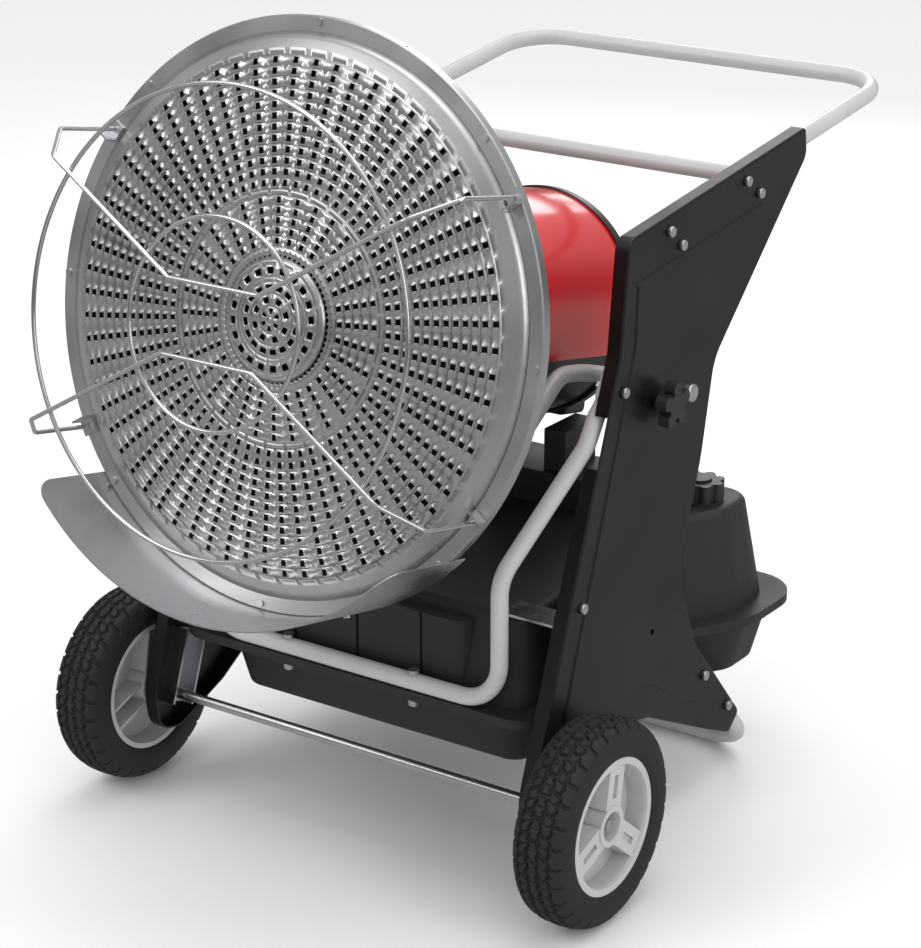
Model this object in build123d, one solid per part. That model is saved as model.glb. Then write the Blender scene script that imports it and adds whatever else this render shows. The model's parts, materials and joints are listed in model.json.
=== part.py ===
from build123d import *
import os
from math import acos, atan2, asin, cos, degrees, radians, sin, sqrt, tan

# Infrared diesel heater on two wheels, millimetres, +Z up, +X to the operator's left when the
# dish faces -Y. Heights are counted from the axle, depths from the axle line, and the whole
# model is moved at the end so that its box stands centred on the origin.

# Wheels and axle
TYRE_R = 120.0
TYRE_W = 66.0
HUB_R = 79.0
HUB_W = 58.0
HUB_WALL = 6.0
BOSS_R = 24.0
AXLE_D = 12.0
WHEEL_X = 329.0
RUN_GAP = 0.08

# Frame
FRAME_HALF = 279.0
SHEET = 2.0
FLANGE = 18.0
TUBE_D = 20.0
TUBE_WALL = 1.5
TUBE_GAP = 4.0
BOLT_D = 8.0
HOLE_GAP = 0.15
NOTCH_GAP = 1.5
HANDLE_SLOPE = 7.15
HANDLE_BEND = 65.0
RAIL_BEND = 36.0
FOOT_BEND = 60.0
HANDLE_REACH = 767.8
RAIL_REACH = 463.1
STAY_HALF = 206.0
FOOT_ANGLE = 46.2

# Heating head
DISH_R = 320.7
RIM_BAND = 17.0
DISH_Y = -95.8
DISH_RISE = 542.1
TILT = 11.4
TILT_DOWN = 11.4
TILT_UP = 5.0
DRUM_R = 135.6
DRUM_FRONT = 61.5
DRUM_LEN = 427.0
COVER_LOW = 19.0
CHAMBER_R = 98.0
GUARD_AHEAD = 131.0
GUARD_R = 246.3
GUARD_INNER_R = 111.5
WIRE_D = 5.0
SHIELD_AHEAD = 114.0
SHIELD_BEHIND = 26.0
SHIELD_HALF = 48.0
PIVOT_Y = 271.0
PIVOT_RISE = 411.4
PIVOT_D = 12.0
KNOB_Y = 206.3
KNOB_RISE = 418.1

# Fuel tank
TANK_FRONT = -7.0
TANK_REAR = 533.0
TANK_FLANGE_RISE = 84.0
TANK_TOP_RISE = 220.0
TANK_BOTTOM_RISE = 11.0
TANK_GAP = 0.5
TANK_FLARE = 42.5
TANK_WALL = 4.0
TANK_STEP = 17.0
CAP_R = 30.0
SEAT = 0.3

AXLE_Z = TYRE_R
TUBE_R = TUBE_D / 2
PANEL_IN = FRAME_HALF - SHEET
TUBE_X = PANEL_IN - TUBE_R
# Small open hole through the raised field of each side panel.
TIE_HOLE_R = 4.0
TIE_HOLE_Y = 203.7
TIE_HOLE_RISE = 140.2
FLANGE_X = FRAME_HALF - FLANGE
TANK_HALF = FLANGE_X - TANK_GAP
TANK_REAR_HALF = TANK_HALF + TANK_FLARE
PARTS = {}


def up(rise):
    """Height above the floor of something counted from the axle."""
    return AXLE_Z + rise


def keep(name, shape):
    """Registers a finished sub-part under its node name."""
    PARTS[name] = shape


def solid_group(*shapes):
    """Several separate solids that share one node."""
    solids = []
    for shape in shapes:
        solids += shape.solids()
    return Compound(children=solids)


def x_rod(radius, x0, x1, y, z, bore=0.0):
    """Round bar along X between x0 and x1."""
    length = abs(x1 - x0)
    bar = Cylinder(radius, length)
    if bore:
        bar -= Cylinder(bore, length)
    return Pos((x0 + x1) / 2, y, z) * Rot(0, 90, 0) * bar


def y_rod(radius, y0, y1, x=0.0, z=0.0, bore=0.0):
    """Round bar along Y between y0 and y1."""
    length = abs(y1 - y0)
    bar = Cylinder(radius, length)
    if bore:
        bar -= Cylinder(bore, length)
    return Pos(x, (y0 + y1) / 2, z) * Rot(90, 0, 0) * bar


def z_rod(radius, x, y, z0, z1, bore=0.0):
    """Round bar along Z between z0 and z1."""
    bar = Cylinder(radius, z1 - z0)
    if bore:
        bar -= Cylinder(bore, z1 - z0)
    return Pos(x, y, (z0 + z1) / 2) * bar


def block(x0, x1, y0, y1, z0, z1):
    """Box given by its corners."""
    return Pos((x0 + x1) / 2, (y0 + y1) / 2, (z0 + z1) / 2) * Box(x1 - x0, y1 - y0, z1 - z0)


def bent_tube(points, radii, diameter=TUBE_D, wall=TUBE_WALL):
    """Round tube that follows straight runs joined by tangent bends."""
    path = FilletPolyline(*points, radius=radii)
    section = Circle(diameter / 2)
    if wall:
        section -= Circle(diameter / 2 - wall)
    start = Plane(origin=path @ 0, z_dir=path % 0)
    return sweep(start * section, path=path)


def turned(profile):
    """Solid turned about the Y axis from (radius, y) points."""
    return revolve(make_face(Polyline(*[(r, y) for r, y in profile], close=True)), axis=Axis.Y)


def rounded_plate(corners, thickness, x_start):
    """Plate across X from (y, z, corner radius) corners, growing towards +X."""
    outline = FilletPolyline(
        *[(y, z) for y, z, _ in corners], radius=[r for _, _, r in corners], close=True
    )
    face = Plane.YZ * make_face(outline)
    return Pos(x_start, 0, 0) * extrude(face, thickness)


def mirrored(shape):
    """The same piece on the other side of the middle plane."""
    return mirror(shape, about=Plane.YZ)


def on_slope(y, rise_at_zero):
    """Rise of a tube axis that climbs rearwards at the handle's slope."""
    return rise_at_zero + y * tan(radians(HANDLE_SLOPE))


# Lines that several pieces share
HANDLE_BASE = 609.7 - 222.5 * tan(radians(HANDLE_SLOPE))
RAIL_DROP = (TUBE_D + TUBE_GAP) / cos(radians(HANDLE_SLOPE))
HANDLE_BOLTS_Y = (222.5, 391.6)
RAIL_BOLTS_Y = (248.2, 422.4)
FOOT_TOP = (327.8, 40.1)
FOOT_BOLT = (386.7, 40.1 - 58.9 * tan(radians(FOOT_ANGLE)))
STAY_BOLT = (131.8, 449.1)
BRACKET_BOLT = (52.8, 221.9)


def handle_point(y):
    return (y, up(on_slope(y, HANDLE_BASE)))


def rail_point(y):
    return (y, up(on_slope(y, HANDLE_BASE) - RAIL_DROP))


HANDLE_BOLTS = [handle_point(y) for y in HANDLE_BOLTS_Y]
RAIL_BOLTS = [rail_point(y) for y in RAIL_BOLTS_Y]
FOOT_BOLTS = [(y, up(rise)) for y, rise in (FOOT_TOP, FOOT_BOLT)]
STAY_AT = (STAY_BOLT[0], up(STAY_BOLT[1]))
BRACKET_AT = (BRACKET_BOLT[0], up(BRACKET_BOLT[1]))
PIVOT_AT = (PIVOT_Y, up(PIVOT_RISE))
KNOB_AT = (KNOB_Y, up(KNOB_RISE))


def side_panel():
    """Pressed steel side of the frame, with a raised field and a folded edge all round."""
    outline = [
        (140, 617, 16),
        (533, 666, 5),
        (538, 632, 20),
        (333, 434, 60),
        (308, 318, 300),
        (263, 196, 80),
        (309, 88, 60),
        (421, -42, 8),
        (397, -63, 8),
        (349, -41, 40),
        (205, 31, 14),
        (168, 39, 40),
        (84, -12, 40),
        (0, -44, 28),
        (-36, -36, 28),
        (-45, 17, 90),
        (126, 491, 60),
    ]
    corners = [(y, up(z), r) for y, z, r in outline]
    blank = rounded_plate(corners, FLANGE, FLANGE_X)
    rim_edges = blank.faces().sort_by(Axis.X)[-1].edges()
    blank = fillet(rim_edges, 3.0)
    pocket_outline = FilletPolyline(
        *[(y, z) for y, z, _ in corners], radius=[r for _, _, r in corners], close=True
    )
    pocket_face = offset(make_face(pocket_outline), amount=-SHEET, kind=Kind.ARC)
    pocket = Pos(FLANGE_X, 0, 0) * extrude(Plane.YZ * pocket_face, FLANGE - SHEET)
    field = [
        (158, 568, 8),
        (452, 599, 8),
        (376, 520, 30),
        (272, 352, 60),
        (262, 255, 200),
        (236, 165, 90),
        (300, 56, 60),
        (336, 2, 6),
        (270, 28, 40),
        (200, 78, 60),
        (129, 70, 50),
        (18, 96, 6),
        (154, 492, 60),
    ]
    field_outline = FilletPolyline(
        *[(y, up(z)) for y, z, _ in field], radius=[r for _, _, r in field], close=True
    )
    field_face = Pos(FRAME_HALF, 0, 0) * (Plane.YZ * make_face(field_outline))
    raised = extrude(field_face, SHEET * 0.75, taper=45)
    panel = blank - pocket + raised
    for notch in tube_notches():
        panel -= notch
    for y, z in HANDLE_BOLTS + RAIL_BOLTS + FOOT_BOLTS + [STAY_AT, BRACKET_AT, KNOB_AT]:
        panel -= x_rod(BOLT_D / 2 + HOLE_GAP, FLANGE_X, FRAME_HALF + 4, y, z)
    panel -= x_rod(PIVOT_D / 2 + HOLE_GAP, FLANGE_X, FRAME_HALF + 4, *PIVOT_AT)
    panel -= x_rod(AXLE_D / 2 + HOLE_GAP, FLANGE_X, FRAME_HALF + 4, 0, AXLE_Z)
    panel -= x_rod(TIE_HOLE_R, FLANGE_X, FRAME_HALF + 4, TIE_HOLE_Y, up(TIE_HOLE_RISE))
    return panel


def notch_along(start, end):
    """Gap in the folded edge for a tube that runs from one (y, z) point to another."""
    dy, dz = end[0] - start[0], end[1] - start[1]
    run = sqrt(dy * dy + dz * dz)
    mid_y, mid_z = (start[0] + end[0]) / 2, (start[1] + end[1]) / 2
    width = TUBE_D + 2 * NOTCH_GAP
    gap = Box(FLANGE + 1, run, width)
    return Pos(PANEL_IN - (FLANGE + 1) / 2, mid_y, mid_z) * Rot(degrees(atan2(dz, dy)), 0, 0) * gap


def tube_notches():
    """Places where the frame tubes leave the panel through its folded edge."""
    slope = tan(radians(FOOT_ANGLE))
    foot_end = (FOOT_TOP[0] + 120, up(FOOT_TOP[1] - 120 * slope))
    return [
        notch_along(handle_point(HANDLE_BOLTS_Y[1] + 20), handle_point(600)),
        notch_along(rail_point(RAIL_BOLTS_Y[1] + 20), rail_point(600)),
        notch_along((FOOT_BOLT[0], up(FOOT_BOLT[1])), foot_end),
        notch_along(STAY_AT, stay_knee_yz(90)),
    ]


def stay_knee_yz(reach):
    """Point on the stay's flat end, reach below its bolt."""
    run = sqrt(38 * 38 + 56 * 56)
    return (STAY_AT[0] - 38 * reach / run, STAY_AT[1] - 56 * reach / run)


def u_tube(arm_start, corner, bend):
    """Tube bent to a U, with its arms against both panels."""
    points = [
        (TUBE_X, *arm_start),
        (TUBE_X, *corner),
        (-TUBE_X, *corner),
        (-TUBE_X, *arm_start),
    ]
    return bent_tube(points, [bend, bend])


def drill(shape, spots, radius=BOLT_D / 2 + HOLE_GAP):
    """Cross holes along X through both arms."""
    for y, z in spots:
        shape -= x_rod(radius, -FRAME_HALF, FRAME_HALF, y, z)
    return shape


def frame_pieces():
    panel = side_panel()
    keep("side_panel_right", panel)
    keep("side_panel_left", mirrored(panel))

    handle = u_tube(handle_point(190), handle_point(HANDLE_REACH), HANDLE_BEND)
    keep("push_handle", drill(handle, HANDLE_BOLTS))
    rail = u_tube(rail_point(215), rail_point(RAIL_REACH), RAIL_BEND)
    keep("rear_rail", drill(rail, RAIL_BOLTS))

    slope = tan(radians(FOOT_ANGLE))
    top_y = FOOT_TOP[0] - 14
    top = (top_y, up(FOOT_TOP[1] + 14 * slope))
    floor_y = FOOT_TOP[0] + (up(FOOT_TOP[1]) - TUBE_R) / slope
    foot = u_tube(top, (floor_y, TUBE_R), FOOT_BEND)
    keep("rear_foot", drill(foot, FOOT_BOLTS))

    rail_z = up(TANK_BOTTOM_RISE) - SEAT - TUBE_R
    rail_y = FOOT_TOP[0] + (up(FOOT_TOP[1]) - rail_z) / slope
    support = x_rod(TUBE_R, -TUBE_X, TUBE_X, rail_y, rail_z, TUBE_R - TUBE_WALL)
    keep("tank_support_rail", support - u_tube(top, (floor_y, TUBE_R), FOOT_BEND) - arm_fill(top, floor_y))

    keep("front_stay", front_stay())


def arm_fill(top, floor_y):
    """Inside of the foot's arms, so that the rail ends at their outer wall."""
    points = [(TUBE_X, *top), (TUBE_X, floor_y, TUBE_R)]
    path = Polyline(*points)
    core = sweep(Plane(origin=path @ 0, z_dir=path % 0) * Circle(TUBE_R + 0.02), path=path)
    return core + mirrored(core)


def both_sides(shape):
    return solid_group(shape, mirrored(shape))


STAY_TAB_X = FRAME_HALF - 22.5
STAY_Y = 1.0
STAY_BEND_RISE = 256.0
STAY_CROSS_RISE = TANK_FLANGE_RISE + 11.0 + TUBE_R
TANK_BOLT_X = (90.0,)


def front_stay():
    """Bent tube ahead of the tank, flattened at both ends where it meets the panels."""
    lower = (STAY_HALF, STAY_Y, up(STAY_BEND_RISE))
    knee = (STAY_TAB_X, STAY_AT[0] - 38, STAY_AT[1] - 56)
    dy, dz = STAY_AT[0] - knee[1], STAY_AT[1] - knee[2]
    run = sqrt(dy * dy + dz * dz)
    uy, uz = dy / run, dz / run
    tube_end = (STAY_TAB_X, STAY_AT[0] - 30 * uy, STAY_AT[1] - 30 * uz)
    foot = (STAY_HALF, STAY_Y, up(STAY_CROSS_RISE))
    half = [tube_end, knee, lower, foot]
    points = half + [(-x, y, z) for x, y, z in reversed(half)]
    stay = bent_tube(points, [40, 60, 50, 50, 60, 40])
    along = Plane(origin=tube_end, z_dir=(0, uy, uz), x_dir=(1, 0, 0))
    flat = Plane(origin=along.origin + along.z_dir * 16, z_dir=along.z_dir, x_dir=(1, 0, 0))
    taper = loft([along * Circle(TUBE_R), flat * Ellipse(2.5, 14.0)])
    tab = extrude(flat * Rectangle(5.0, 26.0), 14 + 12)
    end = taper + tab
    stay = stay + end + mirrored(end)
    stay = drill(stay, [STAY_AT])
    for x in TANK_BOLT_X:
        for side in (-1, 1):
            stay -= z_rod(BOLT_D / 2 + HOLE_GAP, side * x, STAY_Y, up(STAY_CROSS_RISE) - 20, up(STAY_CROSS_RISE) + 20)
    return stay


def panel_bolt(spot, inner_x):
    """Dome-headed bolt through the panel with a nut at its inner end."""
    y, z = spot
    radius = BOLT_D / 2
    head = x_rod(radius * 1.6, FRAME_HALF + SHEET * 0.75 + 0.05, FRAME_HALF + 6.0, y, z)
    head = fillet(head.edges().sort_by(Axis.X)[-1], 2.0)
    shank = x_rod(radius, inner_x - 8, FRAME_HALF + SHEET, y, z)
    nut = Pos(inner_x - 3.5, y, z) * Rot(0, 90, 0) * extrude(RegularPolygon(7.2, 6), 3.4, both=True)
    return head + shank + nut


def fasteners():
    arm_inner = TUBE_X - TUBE_R
    bolts = []
    for spot in HANDLE_BOLTS + RAIL_BOLTS + FOOT_BOLTS:
        bolts.append(panel_bolt(spot, arm_inner))
    bolts.append(panel_bolt(STAY_AT, STAY_TAB_X - 2.5))
    bolts.append(panel_bolt(BRACKET_AT, PANEL_IN - 3.0))
    bolts += [mirrored(bolt) for bolt in bolts]

    y, z = PIVOT_AT
    head = x_rod(11, FRAME_HALF + SHEET * 0.75 + 0.05, FRAME_HALF + 9.5, y, z)
    head = fillet(head.edges().sort_by(Axis.X)[-1], 3.5)
    pivot = head + x_rod(PIVOT_D / 2, QUADRANT_X - 8, FRAME_HALF + SHEET, y, z)
    keep("pivot_bolts", both_sides(pivot))
    sleeve = x_rod(10, QUADRANT_X + QUADRANT_T + SEAT, PANEL_IN, y, z, PIVOT_D / 2 + HOLE_GAP)
    stay_sleeve = x_rod(8, STAY_TAB_X + 2.5, PANEL_IN, *STAY_AT, BOLT_D / 2 + HOLE_GAP)
    knob_sleeve = x_rod(9, QUADRANT_X + QUADRANT_T + SEAT, PANEL_IN, *KNOB_AT, BOLT_D / 2 + HOLE_GAP)
    sleeves = [sleeve, mirrored(sleeve), stay_sleeve, mirrored(stay_sleeve), knob_sleeve]
    keep("spacer_sleeves", solid_group(*sleeves))

    y_a, y_b = BRACKET_AT[0] - 17, BRACKET_AT[0] + 17
    low_a, low_b = tank_top_z(y_a) + SEAT, tank_top_z(y_b) + SEAT
    leg = block(PANEL_IN - 3.0, PANEL_IN, y_a, y_b, low_b, BRACKET_AT[1] + 14)
    strip = make_face(Polyline((y_a, low_a), (y_b, low_b), (y_b, low_b + 3), (y_a, low_a + 3), close=True))
    foot = Pos(PANEL_IN - 90, 0, 0) * extrude(Plane.YZ * strip, 90)
    clip = leg + foot - x_rod(BOLT_D / 2 + HOLE_GAP, 200, 300, *BRACKET_AT)
    keep("tank_brackets", both_sides(clip))

    for x in TANK_BOLT_X:
        for side in (-1, 1):
            z_top = up(STAY_CROSS_RISE) + TUBE_R
            head = z_rod(6.4, side * x, STAY_Y, z_top, z_top + 5)
            shank = z_rod(BOLT_D / 2, side * x, STAY_Y, up(TANK_FLANGE_RISE) - 9, z_top + 2)
            nut = z_rod(7.0, side * x, STAY_Y, up(TANK_FLANGE_RISE) - 7, up(TANK_FLANGE_RISE))
            bolts.append(head + shank + nut)
    keep("frame_bolts", solid_group(*bolts))


def running_gear():
    end_x = WHEEL_X + HUB_W / 2 - 6
    keep("axle", x_rod(AXLE_D / 2, -end_x, end_x, 0, AXLE_Z))
    inner = WHEEL_X - HUB_W / 2
    bush = x_rod(AXLE_D / 2 + 5, FRAME_HALF + 0.0, inner - SEAT, 0, AXLE_Z, AXLE_D / 2 + HOLE_GAP)
    cap = x_rod(AXLE_D / 2 + 6, BOSS_FACE_X + SEAT, BOSS_FACE_X + SEAT + 4, 0, AXLE_Z, AXLE_D / 2)
    keep("axle_bushes_and_caps", solid_group(bush, mirrored(bush), cap, mirrored(cap)))
    lean = 20.0
    channel = block(-3.0, 3.0, -19, 19, -14, 78) + block(-20, 3.0, -19, -16, -14, 78) + block(-20, 3.0, 16, 19, -14, 78)
    channel = Pos(PANEL_IN - 3.0, 4, AXLE_Z) * Rot(-lean, 0, 0) * channel
    channel -= x_rod(AXLE_D / 2 + HOLE_GAP, 200, 300, 0, AXLE_Z)
    keep("axle_bracket_right", channel)
    keep("axle_bracket_left", mirrored(channel))
    for side, name in ((1, "right"), (-1, "left")):
        tyre = tyre_shape()
        hub = hub_shape()
        if side < 0:
            tyre, hub = mirrored(tyre), mirrored(hub)
        keep("tyre_" + name, tyre)
        keep("hub_" + name, hub)


def x_turned(profile):
    """Solid turned about the axle from (x, radius) points, at the right wheel."""
    face = make_face(Polyline(*profile, close=True))
    return Pos(WHEEL_X, 0, AXLE_Z) * revolve(face, axis=Axis.X)


def tyre_shape():
    half = TYRE_W / 2
    bead = HUB_R
    profile = [
        (-half + 4, bead), (-half, bead + 9), (-half, TYRE_R - 16), (-half + 5, TYRE_R - 6),
        (-half + 18, TYRE_R - 1), (0, TYRE_R), (half - 18, TYRE_R - 1), (half - 5, TYRE_R - 6),
        (half, TYRE_R - 16), (half, bead + 9), (half - 4, bead),
    ]
    return x_turned(profile)


BOSS_FACE_X = WHEEL_X + HUB_W / 2 - 16


def hub_shape():
    """Moulded wheel centre: rim band, recessed web, three raised spokes and a deep boss."""
    half = HUB_W / 2
    bore = AXLE_D / 2 + RUN_GAP
    band = x_turned([(-half, HUB_R - HUB_WALL), (-half, HUB_R), (half, HUB_R), (half, HUB_R - 8),
                     (half - 4, HUB_R - 9), (half - 4, HUB_R - 9 - 0.01), (0, HUB_R - 9), (-half + 4, HUB_R - HUB_WALL)])
    web = x_turned([(-2, bore), (-2, HUB_R - 2), (3, HUB_R - 2), (3, bore)])
    boss = x_turned([(-half, bore), (-half, BOSS_R - 4), (half - 2, BOSS_R), (half - 2, BOSS_R - 7),
                     (half - 16, BOSS_R - 8), (half - 16, bore)])
    spokes = None
    for angle in (60, 180, 300):
        arm = block(0, half - 3, BOSS_R - 4, HUB_R - 4, -15, 15)
        arm -= block(half - 7, half, BOSS_R + 8, HUB_R - 20, -4, 4)
        arm = Pos(WHEEL_X, 0, AXLE_Z) * Rot(angle + 20, 0, 0) * arm
        ribs = block(-half + 3, 0, BOSS_R - 6, HUB_R - 4, -15, -12) + block(-half + 3, 0, BOSS_R - 6, HUB_R - 4, 12, 15)
        ribs = Pos(WHEEL_X, 0, AXLE_Z) * Rot(angle + 20, 0, 0) * ribs
        spokes = arm + ribs if spokes is None else spokes + arm + ribs
    hub = band + web + boss + spokes
    return hub


def tank_outline(inset, rear_inset=None):
    """Plan outline of the tank at one level, (x, y), drawn in from the seam flange."""
    rear_inset = inset if rear_inset is None else rear_inset
    half = TANK_HALF - inset
    rear_half = TANK_REAR_HALF - rear_inset
    front = TANK_FRONT + inset
    rear = TANK_REAR - rear_inset
    right = [(half, front), (half, 322), (rear_half, 405), (rear_half, rear)]
    left = [(-x, y) for x, y in reversed(right)]
    radii = [46, 60, 60, 60, 60, 60, 60, 46]
    return make_face(FilletPolyline(*right, *left, radius=radii, close=True))


def level(face, z):
    return Pos(0, 0, z) * face


TANK_TOP_FRONT_Z = up(TANK_TOP_RISE - 27.0)


def tank_top_z(y):
    """Height of the tank's sloping top at one depth."""
    rise = (y - TANK_FRONT + 10) / (295 - TANK_FRONT + 10)
    return TANK_TOP_FRONT_Z + (up(TANK_TOP_RISE) - TANK_TOP_FRONT_Z) * rise


def tank_pieces():
    seam = up(TANK_FLANGE_RISE)
    lip = 5.5
    bottom = up(TANK_BOTTOM_RISE)
    top = up(TANK_TOP_RISE)
    draft_low = degrees(atan2(20, seam - bottom))
    draft_up = degrees(atan2(24, top - seam - lip))
    well = tank_outline(38, TANK_STEP)
    well_in = tank_outline(38 + TANK_WALL, TANK_STEP + TANK_WALL)
    lower = extrude(level(well, seam), bottom - seam, taper=draft_low)
    lower_in = extrude(level(well_in, seam), bottom - seam + TANK_WALL, taper=draft_low)
    lower_in += extrude(level(well_in, seam), lip + 1)
    lower = fillet(lower.faces().sort_by(Axis.Z)[0].edges(), 7.0)
    lower = lower + extrude(level(tank_outline(0), seam), lip) - lower_in
    keep("tank_lower", lower - drain_bore() - tank_bolt_holes(seam - 1, lip + 2))

    upper = extrude(level(tank_outline(24), seam + lip), top - seam - lip, taper=draft_up)
    upper_in = extrude(level(tank_outline(24 + TANK_WALL), seam + lip), top - seam - lip - TANK_WALL, taper=draft_up)
    wedge = top_wedge(0)
    wedge_in = top_wedge(TANK_WALL)
    upper = upper - wedge
    top_edges = [edge for edge in upper.edges() if edge.bounding_box().min.Z > TANK_TOP_FRONT_Z - 5]
    upper = fillet(top_edges, 10.0)
    upper_in = upper_in - wedge_in
    upper = upper + extrude(level(tank_outline(0), seam + lip), lip)
    upper = upper - upper_in
    bumper = front_bumpers(seam + 2 * lip)
    upper = upper + (bumper - upper_in)
    keep("tank_upper", upper - cap_bore() - tank_bolt_holes(seam + lip - 1, lip + 2))

    x, y = CAP_AT
    neck = z_rod(CAP_R - 8, x, y, top - 22, top + 6, CAP_R - 11)
    neck += z_rod(CAP_R - 1, x, y, top, top + 3, CAP_R - 11)
    keep("filler_neck", neck)
    keep("filler_cap", filler_cap(top + 3 + SEAT))
    plug = z_rod(7, *DRAIN_AT, bottom - 3.5, bottom) + z_rod(5, *DRAIN_AT, bottom - 1, bottom + TANK_WALL)
    keep("drain_plug", plug)
    suction = z_rod(4, *SUCTION_AT, bottom + 20, top + 12, 2.5) + z_rod(11, *SUCTION_AT, top, top + 5, 2.5)
    strainer = z_rod(10, *SUCTION_AT, bottom + TANK_WALL + 4, bottom + 40, 4.0)
    keep("fuel_pickup", suction + strainer)
    keep("drum_saddle", saddle(top))


CAP_AT = (212.0, 425.0)
DRAIN_AT = (120.0, 250.0)
SUCTION_AT = (-120.0, 420.0)


def cap_bore():
    top = up(TANK_TOP_RISE)
    bore = z_rod(CAP_R - 8 + 0.05, *CAP_AT, top - 30, top + 20)
    return bore + z_rod(4.0 + 0.05, *SUCTION_AT, top - 30, top + 20)


def drain_bore():
    bottom = up(TANK_BOTTOM_RISE)
    return z_rod(5.05, *DRAIN_AT, bottom - 5, bottom + 10)


def tank_bolt_holes(z0, height):
    holes = None
    for x in TANK_BOLT_X:
        for side in (-1, 1):
            hole = z_rod(BOLT_D / 2 + HOLE_GAP, side * x, STAY_Y, z0, z0 + height)
            holes = hole if holes is None else holes + hole
    return holes


def top_wedge(depth):
    """What the sloping front of the tank's top takes off."""
    z_front = TANK_TOP_FRONT_Z - depth
    z_back = up(TANK_TOP_RISE) - depth
    side = make_face(Polyline((TANK_FRONT - 10, z_front), (295, z_back), (295, z_back + 80),
                              (TANK_FRONT - 10, z_back + 80), close=True))
    return extrude(Plane.YZ * side, 2 * TANK_REAR_HALF / 2, both=True)


def front_bumpers(z0):
    """Rounded blocks that stand out of the front wall between the stay's uprights."""
    z1 = TANK_TOP_FRONT_Z - 8
    middle = block(-150, 150, TANK_FRONT + 22, 70, z0, z1)
    middle = fillet(middle.edges().filter_by(Axis.Z).sort_by(Axis.Y)[:2], 18)
    grooves = block(-2, 2, TANK_FRONT, TANK_FRONT + 25, z0, z1)
    for x in (-90, 90):
        grooves += block(x - 2, x + 2, TANK_FRONT, TANK_FRONT + 25, z0, z1)
    return middle - grooves


def filler_cap(z0):
    """Lobed screw cap with a skirt over the neck."""
    cap = z_rod(CAP_R - 6, *CAP_AT, z0, z0 + 22)
    for k in range(8):
        angle = radians(45 * k)
        x, y = CAP_AT[0] + (CAP_R - 7) * cos(angle), CAP_AT[1] + (CAP_R - 7) * sin(angle)
        cap += z_rod(7, x, y, z0, z0 + 22)
    cap = cap - z_rod(CAP_R - 8 + 0.3, *CAP_AT, z0 - 1, z0 + 6)
    return cap + z_rod(CAP_R - 16, *CAP_AT, z0 + 22, z0 + 25)


def saddle(top):
    """Moulded rest on the tank with two horns under the drum."""
    trim_r = DRUM_R + 2.5
    horn_top = tilted_point(DRUM_FRONT + DRUM_LEN + 5, -sqrt(trim_r ** 2 - HORN_IN ** 2), TILT_UP)[1] - 1.5
    base = block(-150, 150, SADDLE_Y - 42, SADDLE_Y + 42, top + 0.0, top + 42)
    base = fillet(base.edges().filter_by(Axis.Z), 14)
    horns = block(-HORN_OUT, -HORN_IN, SADDLE_Y - 34, SADDLE_Y + 34, top + 40, horn_top)
    horns += block(HORN_IN, HORN_OUT, SADDLE_Y - 34, SADDLE_Y + 34, top + 40, horn_top)
    floor = y_rod(64, SADDLE_Y - 50, SADDLE_Y + 50, 0, top + 44 + 64)
    return base + horns - floor


SADDLE_Y = 343.0


HORN_IN = 62.0
HORN_OUT = 92.0


def tilted_point(behind, above, extra):
    """(y, z) of a point of the head when it is tipped further back by extra degrees."""
    c, s = cos(radians(TILT)), sin(radians(TILT))
    y = DISH_Y + behind * c + above * s - PIVOT_AT[0]
    z = up(DISH_RISE) - behind * s + above * c - PIVOT_AT[1]
    c, s = cos(radians(extra)), sin(radians(extra))
    return PIVOT_AT[0] + y * c + z * s, PIVOT_AT[1] + z * c - y * s


HEAD = Location((0, DISH_Y, up(DISH_RISE)), (-TILT, 0, 0))
QUADRANT_X = FRAME_HALF - 28.0
QUADRANT_T = 4.0


def head_point(y, z):
    """(behind, above) in the head's own frame of a point given in the object's frame."""
    dy, dz = y - DISH_Y, z - up(DISH_RISE)
    c, s = cos(radians(TILT)), sin(radians(TILT))
    return dy * c - dz * s, dy * s + dz * c


def head_keep(name, shape):
    """Registers a sub-part that was drawn in the head's own frame, dish facing -Y."""
    keep(name, HEAD * shape)


def arc_shell(outer, wall, y0, y1, start, span):
    """Part of a round sheet about Y, angles from +X towards +Z."""
    ring = y_rod(outer, y0, y1, bore=outer - wall)
    mid = radians(start + span / 2)
    reach = outer * 3
    if span >= 180:
        cut = wedge_face(start + span, 360 - span, reach)
        return ring - extrude(cut, (y1 - y0) * 1.5, both=True).moved(Location((0, (y0 + y1) / 2, 0)))
    cut = wedge_face(start, span, reach)
    return ring & extrude(cut, (y1 - y0) * 1.5, both=True).moved(Location((0, (y0 + y1) / 2, 0)))


def wedge_face(start, span, reach):
    """Pie slice in the XZ plane."""
    steps = 6
    points = [(0, 0)]
    for k in range(steps + 1):
        angle = radians(start + span * k / steps)
        points.append((reach * cos(angle), reach * sin(angle)))
    face = make_face(Polyline(*points, close=True))
    return Plane(origin=(0, 0, 0), x_dir=(1, 0, 0), z_dir=(0, -1, 0)) * face


SCREW_ANGLES = [45 * k for k in range(8)]
CLIP_ANGLES = (32.3, 147.7, 212.3, 327.7)
RIM_IN = DISH_R - RIM_BAND


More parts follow.
